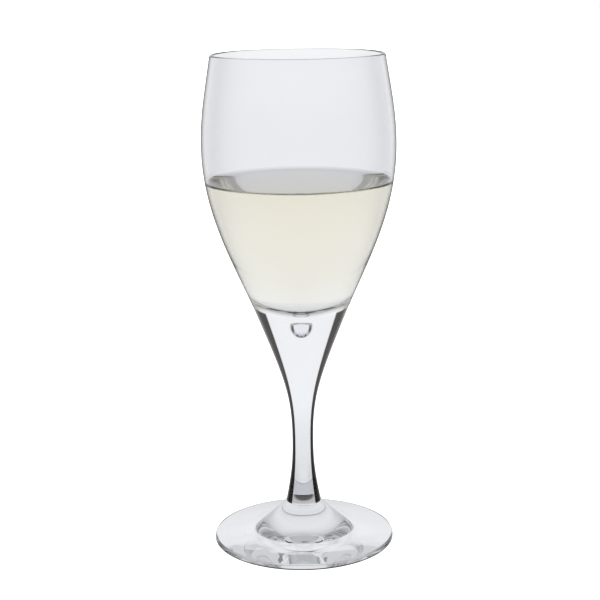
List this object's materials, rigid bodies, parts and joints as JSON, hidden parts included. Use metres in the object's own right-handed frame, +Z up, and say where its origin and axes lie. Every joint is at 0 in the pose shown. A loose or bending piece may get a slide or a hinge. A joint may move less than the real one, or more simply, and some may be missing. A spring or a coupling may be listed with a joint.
{
  "type": "wine glass",
  "caption": "Stemmed wine glass with a tall tulip bowl, a solid flared stem holding an air bubble, a hub-topped disc foot and a measure of white wine.",
  "frame": {"origin": "on the table, at the centre of the foot", "axes": "+Z up along the stem, towards the rim; the glass is round about Z"},
  "size_m": [0.0772, 0.0772, 0.2],
  "materials": {
    "clear_glass": "fire-polished clear glass",
    "wine": "clear pale straw liquid"
  },
  "bodies": {
    "root": {"foot": "clear_glass", "stem": "clear_glass", "bowl": "clear_glass", "wine": "wine"}
  },
  "joints": []
}
